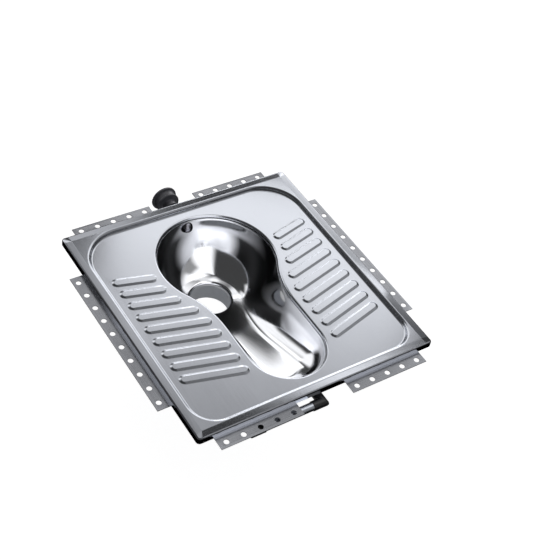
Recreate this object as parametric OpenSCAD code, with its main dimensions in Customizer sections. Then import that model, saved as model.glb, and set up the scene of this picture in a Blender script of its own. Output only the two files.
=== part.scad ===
// Squat toilet pan in stainless steel, set flush in a floor.
// Origin: centre of the deck in plan, on the underside of the anchor flanges. +Y is the inlet side.

/* [Deck] */
// Width of the deck, side to side
deck_width = 590; // [570:5:680]
// Length of the deck, front to rear
deck_length = 610; // [590:5:700]
// Thickness of the pressed steel sheet
sheet = 1.5; // [1:0.1:2]
// Height of the skirt turned down round the deck
skirt_height = 15; // [12:1:24]
// Plan radius of the four outer corners
corner_radius = 8; // [5:1:20]
// Outside radius of the bend from border to skirt
edge_bend = 4; // [3:0.5:5]
// Width of the flat border round the tray
border_width = 18; // [12:1:24]
// Depth of the foot tray below the border
tray_depth = 9; // [6:0.5:11]
// Plan radius of the two front corners of the tray
tray_front_radius = 65; // [45:5:90]
// Plan radius of the two rear corners of the tray
tray_rear_radius = 100; // [60:5:130]
// Mid-sheet radius of both bends in the tray's step
step_bend = 6; // [5:0.5:8]

/* [Foot ribs] */
// Number of ribs under each foot
rib_count = 9; // [5:1:9]
// Distance from rib to rib
rib_pitch = 37; // [32:0.5:38]
// Width of a rib at its base
rib_width = 26; // [20:1:28]
// Height of a rib above the tray
rib_height = 2.5; // [1.5:0.25:3.5]
// Slant of the ribs, outer ends to the rear
rib_angle = 14; // [5:1:18]
// Distance from the tray's rear edge to the rearmost rib's outer end
rib_rear_inset = 147; // [137:1:162]
// Flat left between the ribs and the foot of the tray's step
rib_side_gap = 12; // [8:1:24]
// Flat left between the ribs and the bowl's rim
rib_rim_gap = 16; // [12:1:24]

/* [Bowl] */
// Radius of the round rear of the bowl
bowl_rear_radius = 137; // [125:1:142]
// Distance from the bowl's rear end to the deck's rear edge
bowl_rear_margin = 50; // [46:1:60]
// Radius of the round front of the trough
bowl_front_radius = 88; // [76:1:96]
// Distance from the bowl's front end to the deck's front edge
bowl_front_margin = 49; // [46:1:60]
// Radius of the hollow flanks between the two rounds
flank_radius = 240; // [200:5:300]
// Radius of the deck's rolled edge at the rim
rim_bend = 5; // [4:0.5:8]
// Straight part of the deck's turned-down edge at the rim
rim_edge = 3; // [1:0.5:5]
// Depth of the floor at the drain, below the deck's top
bowl_depth = 145; // [125:1:170]
// Depth of the floor under the front wall, below the deck's top
bowl_front_depth = 65; // [62:1:90]
// Straight part of the wall under the rim
wall_straight = 8; // [4:1:14]
// Reach of the curve from wall to floor at the front
toe_front = 56; // [44:2:60]
// Flat left between that curve and the drain's roll at the rear
toe_rear_gap = 5; // [3:1:12]
// Place of the drain's centre, behind the centre of the bowl's round rear
drain_offset = 2; // [-8:1:10]
// Radius of the floor's roll into the drain
drain_bend = 6.5; // [4:0.5:9]
// Straight neck under that roll
drain_neck = 2; // [1:1:12]

/* [Outlet] */
// Bore of the outlet spigot
outlet_bore = 97; // [90:1:106]
// Depth of the outlet's mouth below the deck's top
outlet_reach = 197; // [190:1:240]
// Outside diameter of the seal round the spigot
seal_outer = 113; // [108:1:124]
// Length of the seal along the spigot
seal_length = 26; // [18:1:34]
// Height of one lip of the seal
seal_lip = 4; // [3:0.5:5]

/* [Anchor flanges] */
// Reach of a flange beyond the skirt
flange_reach = 30; // [24:1:40]
// Thickness of a flange
flange_sheet = 2; // [1.5:0.1:3]
// Diameter of the anchor holes
anchor_hole = 12; // [8:0.5:14]
// Distance from hole to hole
anchor_pitch = 40; // [34:1:42]
// Distance of the holes from the skirt
anchor_offset = 17.5; // [13:0.5:20]
// Number of holes in each side flange
side_holes = 10; // [6:1:10]
// Number of holes in each end flange
end_holes = 5; // [3:1:5]
// Place of the innermost hole of a front flange
front_flange_x = 80; // [70:1:90]
// Place of the innermost hole of a rear flange
rear_flange_x = 76; // [70:1:90]
// Steel left past the last hole of a flange
flange_end = 18; // [12:1:20]

/* [Flush line] */
// Depth of the line's axis below the deck's top
line_depth = 35; // [31:1:40]
// Outside diameter of the flush tubes
tube_outer = 19; // [16:0.5:19.5]
// Wall of the flush tubes
tube_wall = 1.5; // [1:0.1:2]
// Place of the side tube's axis, left of the deck's centre
side_tube_x = 170; // [165:1:210]
// Reach of the front cross tube's axis beyond the skirt
front_tube_reach = 10; // [4:1:16]
// Reach of the rear cross tube's axis beyond the skirt
rear_tube_reach = 5; // [2:1:16]
// Outside diameter of the elbows
elbow_outer = 22; // [21.5:0.5:26]
// Length of an elbow's leg from the corner
elbow_leg = 26; // [22:1:32]
// Depth of an elbow's socket
socket_depth = 12; // [8:1:14]
// Length of a coupling nut
nut_length = 17; // [14:1:20]
// Width of a coupling nut across its flats
nut_flats = 25; // [24:0.5:26]
// Bare stub between the bowl and the rear nut
rear_stub = 8; // [4:1:10]
// Bare stub between the bowl and the front nut
front_stub = 2; // [1:0.5:6]
// Reach of the two nozzles into the bowl
nozzle_reach = 7; // [5:0.5:7.5]
// Radius of the hoods that turn the water down
hood_radius = 15; // [14:0.5:16]
// Steel thickness of the hoods
hood_wall = 1.5; // [1:0.1:2]
// Slot left open at the foot of a hood, below the axis
hood_slot = 5; // [2:0.5:8]

/* [Inlet] */
// Outside diameter of the tee's body
tee_outer = 28; // [26:1:32]
// Length of the tee's body
tee_length = 28; // [26:1:34]
// Outside diameter of the tee's tail in the cuff
tail_outer = 24; // [22:0.5:25]
// Length of that tail
tail_length = 20; // [14:1:22]
// Bore of the cuff's mouth, for the flush pipe
cuff_bore = 46; // [40:1:47]
// Outside diameter of the cuff's body
cuff_outer = 53; // [52:1:56]
// Outside diameter of the ring round the mouth
cuff_ring = 63; // [60:1:66]
// Length of the cuff, small end to mouth
cuff_length = 42; // [40:1:52]
// Depth of the bore in the cuff's mouth
cuff_depth = 20; // [14:1:22]

/* [Hidden] */
$fn = 96;
// Gap between two pieces that fit together
fit_gap = 0.3;
// Angle of one facet of the bowl's outline, and the rings in each part of its wall
bowl_step = 6;
toe_rings = 7;
floor_rings = 4;
bend_rings = 5;
// Number of facets round a bend of the sheet, and flat strip drawn with the foot of the step
bend_steps = 6;
step_land = 3;
// Length of a half-space used to cut a mitre
far = 100;

deck_top = skirt_height + flange_sheet;
tray_top = deck_top - tray_depth;
half_width = deck_width / 2;
half_length = deck_length / 2;
tray_width = deck_width - 2 * border_width;
tray_length = deck_length - 2 * border_width;
// The tray's step is two equal arcs of the sheet, one up and one down
step_angle = acos(1 - tray_depth / (2 * step_bend));
step_run = 2 * step_bend * sin(step_angle);

// The bowl's outline: two rounds joined by hollow flanks that touch the rear one
rear_wall_y = half_length - bowl_rear_margin;
front_wall_y = -half_length + bowl_front_margin;
bowl_rear_y = rear_wall_y - bowl_rear_radius;
front_y = front_wall_y + bowl_front_radius;
flank_x = bowl_front_radius + flank_radius;
flank_drop = sqrt(pow(bowl_rear_radius + flank_radius, 2) - pow(flank_x, 2));
flank_y = bowl_rear_y - flank_drop;
flank_angle = asin(flank_drop / (bowl_rear_radius + flank_radius));
rim_foot = tray_top - rim_bend - rim_edge;
drain_y = bowl_rear_y + drain_offset;
drain_radius = outlet_bore / 2;
floor_fall = (bowl_depth - bowl_front_depth) / (drain_y - front_wall_y - drain_radius - drain_bend);
fall_angle = atan(floor_fall);
roll_centre_z = deck_top - bowl_depth - drain_bend * cos(fall_angle);
neck_foot = roll_centre_z - drain_neck;
curve_top = rim_foot - wall_straight;
toe_rear = rear_wall_y - drain_y - drain_radius - drain_bend - toe_rear_gap;

// Ribs: centre line of each from a point near the step to one near the rim
rib_half = rib_width / 2;
rib_outer_x = tray_width / 2 - step_run - rib_side_gap - rib_half;
rib_rear_y = tray_length / 2 - rib_rear_inset;
rib_rim_clear = rib_rim_gap + rib_half;

line_z = deck_top - line_depth;
front_tube_y = -half_length - front_tube_reach;
rear_tube_y = half_length + rear_tube_reach;
rear_nut_y = rear_wall_y + sheet + rear_stub;
front_nut_y = front_wall_y - sheet - front_stub - nut_length;
tee_front_y = rear_tube_y - tee_length / 2;
tee_rear_y = rear_tube_y + tee_length / 2;
branch_nut_x = -tee_outer / 2 - nut_length - rear_stub;
tube_radius = tube_outer / 2;
outlet_outer = outlet_bore + 2 * sheet;
outlet_mouth = deck_top - outlet_reach;

// ---- Outlines in plan ----

// Rectangle with one radius at the front corners and one at the rear corners
module tray_outline(width, length, front_r, rear_r) {
    translate([-width / 2, -length / 2 + front_r])
        square([width, length - front_r - rear_r]);
    translate([-width / 2 + front_r, -length / 2])
        square([width - 2 * front_r, length / 2]);
    translate([-width / 2 + rear_r, 0])
        square([width - 2 * rear_r, length / 2]);
    for (side = [-1, 1]) {
        translate([side * (width / 2 - front_r), -length / 2 + front_r])
            circle(r = front_r);
        translate([side * (width / 2 - rear_r), length / 2 - rear_r])
            circle(r = rear_r);
    }
}

// Stations round the right half of the outline, front to rear: place and outward direction
function arc_stations(centre, radius, a0, a1, out) =
    let (count = max(2, ceil(abs(a1 - a0) / bowl_step)))
    [for (i = [0 : count - 1])
        let (a = a0 + (a1 - a0) * i / count, ray = [cos(a), sin(a)])
        [centre + radius * ray, out * ray]];

straight_steps = 4;
right_stations = concat(
    arc_stations([0, front_y], bowl_front_radius, -90, 0, 1),
    [for (i = [0 : straight_steps - 1])
        [[bowl_front_radius, front_y + (flank_y - front_y) * i / straight_steps], [1, 0]]],
    arc_stations([flank_x, flank_y], flank_radius, 180, 180 - flank_angle, -1),
    arc_stations([0, bowl_rear_y], bowl_rear_radius, -flank_angle, 90, 1),
    [[[0, bowl_rear_y + bowl_rear_radius], [0, 1]]]
);
half_count = len(right_stations) - 1;
stations = concat(
    right_stations,
    [for (i = [half_count - 1 : -1 : 1])
        let (s = right_stations[i])
        [[-s[0][0], s[0][1]], [-s[1][0], s[1][1]]]]
);

// Closed skin over a ring of closed loops of points
module looped_skin(loops) {
    size = len(loops[0]);
    count = len(loops);
    faces = [for (s = [0 : count - 1]) for (i = [0 : size - 1])
        let (
            t = (s + 1) % count,
            j = (i + 1) % size,
            a = s * size + i,
            b = s * size + j,
            c = t * size + j,
            d = t * size + i
        )
        each [[a, b, c], [a, c, d]]];
    polyhedron(points = [for (loop = loops) each loop], faces = faces);
}

// Distance from a point right of the trough to the keyhole outline
function rim_distance(p) =
    p[1] <= flank_y ? p[0] - bowl_front_radius :
    atan2(p[1] - flank_y, flank_x - p[0]) < flank_angle
        ? flank_radius - norm(p - [flank_x, flank_y])
        : norm(p - [0, bowl_rear_y]) - bowl_rear_radius;

// ---- Bends and sweeps of sheet ----

// Points along an arc; the first one is left out where skip is 1
function arc(centre, radius, a0, a1, skip = 0) =
    [for (i = [skip : bend_steps])
        let (a = a0 + (a1 - a0) * i / bend_steps)
        centre + radius * [cos(a), sin(a)]];

// Straight run along Y of a profile whose x points to +X
module straight_run(length) {
    rotate([90, 0, 0])
        linear_extrude(height = length, center = true)
            children();
}

// Profile carried round a rectangle with front and rear corner radii; x points outwards
module round_rectangle_sweep(width, length, front_r, rear_r) {
    side_length = length - front_r - rear_r;
    for (side = [0, 1])
        mirror([side, 0, 0]) {
            translate([width / 2, (front_r - rear_r) / 2, 0])
                straight_run(side_length)
                    children();
            translate([width / 2 - rear_r, length / 2 - rear_r, 0])
                rotate_extrude(angle = 90)
                    translate([rear_r, 0])
                        children();
            translate([width / 2 - front_r, -length / 2 + front_r, 0])
                rotate([0, 0, -90])
                    rotate_extrude(angle = 90)
                        translate([front_r, 0])
                            children();
        }
    translate([0, length / 2, 0])
        rotate([0, 0, 90])
            straight_run(width - 2 * rear_r)
                children();
    translate([0, -length / 2, 0])
        rotate([0, 0, -90])
            straight_run(width - 2 * front_r)
                children();
}

// ---- Deck ----

// Skirt and its bend, from the skirt's foot to the border; x is zero at the outer face
skirt_centre = [-edge_bend, deck_top - edge_bend];
skirt_profile = concat(
    [[-sheet, flange_sheet], [0, flange_sheet]],
    arc(skirt_centre, edge_bend, 0, 90),
    arc(skirt_centre, edge_bend - sheet, 90, 0)
);

// Step from the border down to a strip of the tray; x is zero where it leaves the border
step_outer = step_bend + sheet / 2;
step_inner = step_bend - sheet / 2;
step_top_centre = [0, deck_top - sheet / 2 - step_bend];
step_foot_centre = [-step_run, tray_top - sheet / 2 + step_bend];
step_profile = concat(
    arc(step_top_centre, step_outer, 90, 90 + step_angle),
    arc(step_foot_centre, step_inner, 270 + step_angle, 270, 1),
    [[-step_run - step_land, tray_top], [-step_run - step_land, tray_top - sheet]],
    arc(step_foot_centre, step_outer, 270, 270 + step_angle),
    arc(step_top_centre, step_inner, 90 + step_angle, 90, 1)
);

// Edge rolled down into the bowl; x is zero at the face that looks into the bowl
rim_centre = [rim_bend, tray_top - rim_bend];
rim_profile = concat(
    [[0, rim_foot], [sheet, rim_foot]],
    arc(rim_centre, rim_bend - sheet, 180, 90),
    arc(rim_centre, rim_bend, 90, 180)
);

// Place of the inner end of a rib whose centre line passes through outer
function rib_inner(outer, near = 0, far_x = undef, turns = 16) =
    let (
        high = is_undef(far_x) ? outer[0] : far_x,
        low = near,
        mid = (low + high) / 2,
        p = [mid, outer[1] - (outer[0] - mid) * tan(rib_angle)]
    )
    turns == 0 ? p :
    rim_distance(p) > rib_rim_clear
        ? rib_inner(outer, low, mid, turns - 1)
        : rib_inner(outer, mid, high, turns - 1);

// Stadium-shaped rib with slanted sides; grow makes it wider, foot is its underside
module rib(outer, inner, grow, foot, top) {
    wide = rib_half + grow;
    narrow = wide - (top - foot);
    length = norm(outer - inner);
    half_profile = [[0, foot], [wide, foot], [narrow, top], [0, top]];
    translate([inner[0], inner[1], 0])
        rotate([0, 0, rib_angle]) {
            rotate([0, 0, 90])
                rotate_extrude(angle = 180)
                    polygon(half_profile);
            translate([length, 0, 0])
                rotate([0, 0, -90])
                    rotate_extrude(angle = 180)
                        polygon(half_profile);
            rotate([90, 0, 90])
                linear_extrude(height = length)
                    polygon([[-wide, foot], [wide, foot], [narrow, top], [-narrow, top]]);
        }
}

// All ribs, left and right
module ribs(grow, foot, top) {
    for (i = [0 : rib_count - 1]) {
        outer = [rib_outer_x, rib_rear_y - i * rib_pitch];
        inner = rib_inner(outer);
        for (side = [0, 1])
            mirror([side, 0, 0])
                rib(outer, inner, grow, foot, top);
    }
}

module deck() {
    inset = 2 * edge_bend;
    floor_inset = step_run + step_land / 2;
    lean = (sqrt(2) - 1) * sheet;
    color("#a9adb5")
    difference() {
        union() {
            round_rectangle_sweep(deck_width, deck_length, corner_radius, corner_radius)
                polygon(skirt_profile);
            translate([0, 0, deck_top - sheet])
                linear_extrude(height = sheet)
                    difference() {
                        tray_outline(deck_width - inset, deck_length - inset,
                            corner_radius - edge_bend, corner_radius - edge_bend);
                        tray_outline(tray_width, tray_length, tray_front_radius, tray_rear_radius);
                    }
            round_rectangle_sweep(tray_width, tray_length, tray_front_radius, tray_rear_radius)
                polygon(step_profile);
            translate([0, 0, tray_top - sheet])
                linear_extrude(height = sheet)
                    difference() {
                        tray_outline(tray_width - 2 * floor_inset, tray_length - 2 * floor_inset,
                            tray_front_radius - floor_inset, tray_rear_radius - floor_inset);
                        polygon([for (s = stations) s[0] + rim_bend * s[1]]);
                    }
            looped_skin([for (s = stations)
                [for (p = rim_profile) [s[0][0] + p[0] * s[1][0], s[0][1] + p[0] * s[1][1], p[1]]]]);
            ribs(sheet / 2, tray_top - sheet / 2, tray_top + rib_height);
        }
        ribs(sheet - lean, tray_top - 2 * sheet, tray_top + rib_height - sheet);
    }
}

// ---- Bowl ----

// Floor of the surface that lies out below the bowl's inside, a cone about the drain
function roll_start_radius(out) =
    drain_radius + drain_bend - (drain_bend - out) * sin(fall_angle);
function floor_height(p, out) =
    roll_centre_z + (drain_bend - out) * cos(fall_angle)
    + floor_fall * (norm(p - [0, drain_y]) - roll_start_radius(out));

// Reach of the curve between wall and floor, from the front one to the rear one
function toe_reach(p) =
    let (
        share = (p[1] - front_wall_y) / (rear_wall_y - front_wall_y),
        ease = share * share * (3 - 2 * share)
    )
    toe_front + (toe_rear - toe_front) * ease;

// Point of that curve at angle a, on the inside (out = 0) or the outside of the sheet: a leaning
// quarter ellipse that starts upright at one depth all round and runs out in the floor
function toe_point(station, out, a) =
    let (
        place = station[0],
        ray = station[1],
        rise = curve_top - floor_height(place, 0),
        p = place + (out - (toe_reach(place) + out) * (1 - cos(a))) * ray
    )
    [p[0], p[1], floor_height(p, out) + (rise + out) * (1 - sin(a))];

// Points of one station from rim to neck, on the inside (out = 0) or the outside of the sheet
function meridian(station, out) =
    let (
        place = station[0],
        ray = station[1],
        wall = place + out * ray,
        toe_end = place - toe_reach(place) * ray,
        towards = (toe_end - [0, drain_y]) / norm(toe_end - [0, drain_y]),
        roll = [0, drain_y] + roll_start_radius(out) * towards
    )
    concat(
        [[wall[0], wall[1], rim_foot]],
        [for (i = [0 : toe_rings])
            toe_point(station, out, 90 * i / toe_rings)],
        [for (i = [1 : floor_rings])
            let (p = toe_end + (roll - toe_end) * i / floor_rings)
            [p[0], p[1], floor_height(p, out)]],
        [for (i = [1 : bend_rings])
            let (
                a = fall_angle + (90 - fall_angle) * i / bend_rings,
                r = drain_radius + drain_bend - (drain_bend - out) * sin(a),
                p = [0, drain_y] + r * towards
            )
            [p[0], p[1], roll_centre_z + (drain_bend - out) * cos(a)]],
        [let (p = [0, drain_y] + (drain_radius + out) * towards)
            [p[0], p[1], neck_foot]]
    );

module bowl() {
    hole = tube_radius + fit_gap;
    reach = toe_front + sheet;
    color("#c3c6cc")
    difference() {
        looped_skin([for (s = stations)
            let (inside = meridian(s, 0), outside = meridian(s, sheet))
            concat(inside, [for (i = [len(outside) - 1 : -1 : 0]) outside[i]])]);
        translate([0, rear_wall_y - reach / 2, line_z])
            rotate([-90, 0, 0])
                cylinder(r = hole, h = reach);
        translate([0, front_wall_y + reach / 2, line_z])
            rotate([90, 0, 0])
                cylinder(r = hole, h = reach);
    }
}

// ---- Outlet ----

module outlet_spigot() {
    color("#70757d")
    translate([0, drain_y, outlet_mouth])
        difference() {
            cylinder(d = outlet_outer, h = neck_foot - outlet_mouth);
            translate([0, 0, -1])
                cylinder(d = outlet_bore, h = neck_foot - outlet_mouth + 2);
        }
}

// Rubber ring pushed up the spigot, with rounded lips round it
module outlet_seal() {
    body = seal_outer - seal_lip;
    lips = floor(seal_length / (2 * seal_lip));
    pitch = seal_length / lips;
    color("#17181a")
    translate([0, drain_y, neck_foot - seal_length])
        rotate_extrude()
            difference() {
                union() {
                    square([body / 2, seal_length]);
                    for (i = [0 : lips - 1])
                        translate([seal_outer / 2 - seal_lip / 2, (i + 0.5) * pitch])
                            circle(d = seal_lip, $fn = 32);
                }
                translate([0, -1])
                    square([outlet_outer / 2 + fit_gap, seal_length + 2]);
            }
}

// ---- Anchor flanges ----

// Perforated strip along +X whose top edge lies at y = 0, its holes centred on x = 0
module flange_strip(holes) {
    length = (holes - 1) * anchor_pitch + 2 * flange_end;
    color("#9498a0")
    linear_extrude(height = flange_sheet)
        difference() {
            translate([-length / 2, -flange_reach])
                square([length, flange_reach + sheet]);
            for (i = [0 : holes - 1])
                translate([(i - (holes - 1) / 2) * anchor_pitch, -anchor_offset])
                    circle(d = anchor_hole);
        }
}

module side_flange(side) {
    translate([side * half_width, 0, 0])
        rotate([0, 0, side * 90])
            flange_strip(side_holes);
}

module end_flange(side, row, first_hole) {
    centre = first_hole + (end_holes - 1) * anchor_pitch / 2;
    translate([side * centre, row * half_length, 0])
        rotate([0, 0, row > 0 ? 180 : 0])
            flange_strip(end_holes);
}

module left_flange() {
    side_flange(-1);
}

module right_flange() {
    side_flange(1);
}

module front_left_flange() {
    end_flange(-1, -1, front_flange_x);
}

module front_right_flange() {
    end_flange(1, -1, front_flange_x);
}

module rear_left_flange() {
    end_flange(-1, 1, rear_flange_x);
}

module rear_right_flange() {
    end_flange(1, 1, rear_flange_x);
}

// ---- Flush line ----

// Round tube along +Z from its start
module tube(length) {
    difference() {
        cylinder(r = tube_radius, h = length);
        translate([0, 0, -1])
            cylinder(r = tube_radius - tube_wall, h = length + 2);
    }
}

// Hexagonal coupling nut along +Z, its corners turned off at both ends
module coupling_nut() {
    across_corners = nut_flats / cos(30);
    chamfer = (across_corners - nut_flats) / 2;
    difference() {
        intersection() {
            cylinder(d = across_corners, h = nut_length, $fn = 6);
            rotate_extrude()
                polygon([
                    [0, 0], [nut_flats / 2, 0], [across_corners / 2, chamfer],
                    [across_corners / 2, nut_length - chamfer], [nut_flats / 2, nut_length],
                    [0, nut_length]
                ]);
        }
        translate([0, 0, -1])
            cylinder(r = tube_radius + fit_gap, h = nut_length + 2);
    }
}

// Leg of an elbow along +X, cut at the mitre so that it meets the leg along +Y
module mitred_leg(radius, length) {
    difference() {
        translate([-radius, 0, 0])
            rotate([0, 90, 0])
                cylinder(r = radius, h = length + radius);
        rotate([0, 0, 45])
            translate([-far, 0, -far / 2])
                cube([2 * far, far, far]);
    }
}

// Both legs, along +X and +Y
module mitred_pair(radius, length) {
    mitred_leg(radius, length);
    mirror([1, -1, 0])
        mitred_leg(radius, length);
}

// Elbow with a socket in each leg and a mitred corner
module elbow() {
    socket = elbow_leg - socket_depth;
    color("#1e1f22")
    difference() {
        mitred_pair(elbow_outer / 2, elbow_leg);
        mitred_pair(tube_radius - tube_wall, elbow_leg + 1);
        translate([socket, 0, 0])
            rotate([0, 90, 0])
                cylinder(r = tube_radius + fit_gap, h = socket_depth + 1);
        translate([0, socket, 0])
            rotate([-90, 0, 0])
                cylinder(r = tube_radius + fit_gap, h = socket_depth + 1);
    }
}

// Distance from an elbow's corner to the end of a tube in its socket
tube_stop = elbow_leg - socket_depth + fit_gap;

module rear_elbow() {
    translate([-side_tube_x, rear_tube_y, line_z])
        rotate([0, 0, -90])
            elbow();
}

module corner_elbow() {
    translate([-side_tube_x, front_tube_y, line_z])
        elbow();
}

module front_elbow() {
    translate([0, front_tube_y, line_z])
        rotate([0, 0, 90])
            elbow();
}

module rear_cross_tube() {
    start = branch_nut_x + nut_length / 2 - fit_gap / 2;
    color("#8b9097")
    translate([start, rear_tube_y, line_z])
        rotate([0, -90, 0])
            tube(start + side_tube_x - tube_stop);
}

module side_tube() {
    color("#8b9097")
    translate([-side_tube_x, front_tube_y + tube_stop, line_z])
        rotate([-90, 0, 0])
            tube(rear_tube_y - front_tube_y - 2 * tube_stop);
}

module front_cross_tube() {
    color("#8b9097")
    translate([-side_tube_x + tube_stop, front_tube_y, line_z])
        rotate([0, 90, 0])
            tube(side_tube_x - 2 * tube_stop);
}

// Middle of each coupling nut, where two tube ends meet
rear_joint_y = rear_nut_y + nut_length / 2;
front_joint_y = front_nut_y + nut_length / 2;

module front_feed_tube() {
    start = front_tube_y + tube_stop;
    color("#8b9097")
    translate([0, start, line_z])
        rotate([-90, 0, 0])
            tube(front_joint_y - fit_gap / 2 - start);
}

module front_nozzle() {
    start = front_joint_y + fit_gap / 2;
    color("#8b9097")
    translate([0, start, line_z])
        rotate([-90, 0, 0])
            tube(front_wall_y + nozzle_reach - start);
}

module rear_nozzle() {
    start = rear_wall_y - nozzle_reach;
    color("#8b9097")
    translate([0, start, line_z])
        rotate([-90, 0, 0])
            tube(rear_joint_y - fit_gap / 2 - start);
}

// Domed hood over a nozzle, open at its foot; it follows the bowl's wall, round about centre_y
module hood(wall_y, centre_y) {
    radius = abs(wall_y - centre_y);
    station = [[0, wall_y], [0, sign(wall_y - centre_y)]];
    wall = [for (i = [0 : toe_rings]) toe_point(station, 0, 90 * i / toe_rings)];
    color("#5c6068")
    intersection() {
        translate([0, wall_y, line_z])
            difference() {
                sphere(r = hood_radius);
                sphere(r = hood_radius - hood_wall);
                translate([-hood_radius, -hood_radius, -hood_slot - hood_radius])
                    cube([2 * hood_radius, 2 * hood_radius, hood_radius]);
            }
        translate([0, centre_y, 0])
            rotate_extrude()
                polygon(concat(
                    [[0, wall[toe_rings][2]], [0, deck_top], [radius - fit_gap, deck_top]],
                    [for (p = wall) [abs(p[1] - centre_y) - fit_gap, p[2]]]
                ));
    }
}

module rear_hood() {
    hood(rear_wall_y, bowl_rear_y);
}

module front_hood() {
    hood(front_wall_y, front_y);
}

module rear_nut() {
    color("#232427")
    translate([0, rear_nut_y, line_z])
        rotate([-90, 0, 0])
            coupling_nut();
}

module front_nut() {
    color("#232427")
    translate([0, front_nut_y, line_z])
        rotate([-90, 0, 0])
            coupling_nut();
}

module branch_nut() {
    color("#232427")
    translate([branch_nut_x, rear_tube_y, line_z])
        rotate([0, 90, 0])
            coupling_nut();
}

// ---- Inlet ----

// Tee: one spout to the bowl, one to the side line, and a tail for the cuff
module inlet_tee() {
    bore = tube_radius - tube_wall;
    spout_y = rear_joint_y + fit_gap / 2;
    branch_x = branch_nut_x + nut_length / 2 + fit_gap / 2;
    color("#1a1b1d")
    translate([0, 0, line_z])
        difference() {
            union() {
                translate([0, tee_front_y, 0])
                    rotate([-90, 0, 0])
                        cylinder(d = tee_outer, h = tee_length);
                translate([0, spout_y, 0])
                    rotate([-90, 0, 0])
                        cylinder(r = tube_radius, h = tee_front_y - spout_y);
                translate([0, tee_rear_y, 0])
                    rotate([-90, 0, 0])
                        cylinder(d = tail_outer, h = tail_length);
                translate([branch_x, rear_tube_y, 0])
                    rotate([0, 90, 0])
                        cylinder(r = tube_radius, h = -branch_x);
            }
            translate([0, spout_y - 1, 0])
                rotate([-90, 0, 0])
                    cylinder(r = bore, h = tee_rear_y + tail_length - spout_y + 2);
            translate([branch_x - 1, rear_tube_y, 0])
                rotate([0, 90, 0])
                    cylinder(r = bore, h = 1 - branch_x);
        }
}

// Rubber cuff: small end over the tee's tail, wide mouth for the flush pipe
module inlet_cuff() {
    small = tail_outer / 2 + fit_gap;
    small_outer = small + 4;
    wide = cuff_bore / 2;
    ring = cuff_ring / 2;
    body = cuff_outer / 2;
    ring_width = 6;
    bead = 1.5;
    shoulder = cuff_length - cuff_depth - 8;
    mouth_floor = cuff_length - cuff_depth;
    color("#151617")
    translate([0, tee_rear_y + fit_gap, line_z])
        rotate([-90, 0, 0])
            rotate_extrude()
                polygon([
                    [small, 0], [small_outer, 0], [small_outer, shoulder],
                    [body + bead, shoulder + 3], [body + bead, shoulder + 7], [body, shoulder + 8.5],
                    [body, cuff_length - ring_width - 1], [ring - 1, cuff_length - ring_width],
                    [ring, cuff_length - ring_width + 1], [ring, cuff_length - 1],
                    [ring - 1, cuff_length], [wide, cuff_length], [wide, mouth_floor],
                    [small, mouth_floor]
                ]);
}

deck();
bowl();
outlet_spigot();
outlet_seal();
left_flange();
right_flange();
front_left_flange();
front_right_flange();
rear_left_flange();
rear_right_flange();
rear_nozzle();
rear_hood();
rear_nut();
front_nozzle();
front_hood();
front_nut();
inlet_tee();
inlet_cuff();
branch_nut();
rear_cross_tube();
rear_elbow();
side_tube();
corner_elbow();
front_cross_tube();
front_elbow();
front_feed_tube();
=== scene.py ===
import math

import bmesh
import bpy
from mathutils import Matrix, Vector


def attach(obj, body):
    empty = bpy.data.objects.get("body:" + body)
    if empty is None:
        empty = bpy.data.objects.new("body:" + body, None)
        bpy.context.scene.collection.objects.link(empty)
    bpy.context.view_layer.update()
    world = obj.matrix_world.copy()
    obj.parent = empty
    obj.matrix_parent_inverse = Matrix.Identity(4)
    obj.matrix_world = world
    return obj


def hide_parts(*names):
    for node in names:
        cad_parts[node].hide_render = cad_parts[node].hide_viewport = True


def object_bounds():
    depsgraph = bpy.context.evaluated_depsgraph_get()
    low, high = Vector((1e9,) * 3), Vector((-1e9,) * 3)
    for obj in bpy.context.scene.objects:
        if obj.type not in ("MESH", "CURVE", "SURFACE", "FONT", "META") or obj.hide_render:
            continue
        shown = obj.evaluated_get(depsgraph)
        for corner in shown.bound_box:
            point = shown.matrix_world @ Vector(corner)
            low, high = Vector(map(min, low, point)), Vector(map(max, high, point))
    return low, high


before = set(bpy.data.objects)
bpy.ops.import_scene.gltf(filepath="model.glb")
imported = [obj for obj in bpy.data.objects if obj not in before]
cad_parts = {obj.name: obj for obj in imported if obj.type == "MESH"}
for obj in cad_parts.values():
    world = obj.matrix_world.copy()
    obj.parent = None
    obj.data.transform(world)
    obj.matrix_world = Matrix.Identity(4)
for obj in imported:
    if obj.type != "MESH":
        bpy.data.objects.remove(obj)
cad_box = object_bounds()


# ---- Studio ----
# A dark room that the camera sees as white, with one long camera above the pan's front left corner and a
# pale floor just under the outlet's mouth. The metal mirrors soft boxes, lamps over the bowl and a card.
camera_place = Vector((-1.105, -1.342, 1.812))
camera_turn = -0.72905
camera_height = 0.787126
camera_roll = 0.21703
lens_mm = 73.23
floor_gap = 0.001
floor_size = 30.0
floor_white = 0.93
floor_colour = (0.55, 0.55, 0.56, 1)
floor_glow = 0.45
floor_glow_reach = (0.38, 0.22)
white = (1, 1, 1, 1)

back = Vector((
    math.sin(camera_turn) * math.cos(camera_height),
    -math.cos(camera_turn) * math.cos(camera_height),
    math.sin(camera_height),
))
level_right = Vector((0, 0, 1)).cross(back).normalized()
level_up = back.cross(level_right)
camera_right = math.cos(camera_roll) * level_right + math.sin(camera_roll) * level_up
camera_up = -math.sin(camera_roll) * level_right + math.cos(camera_roll) * level_up

camera_data = bpy.data.cameras.new("camera")
camera_data.lens = lens_mm
camera_data.sensor_width = 36
camera_data.clip_end = 100
camera = bpy.data.objects.new("camera", camera_data)
bpy.context.scene.collection.objects.link(camera)
axes = Matrix((camera_right, camera_up, back)).transposed().to_4x4()
camera.matrix_world = Matrix.Translation(camera_place) @ axes
bpy.context.scene.camera = camera
bpy.context.scene.view_settings.view_transform = "Standard"


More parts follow.
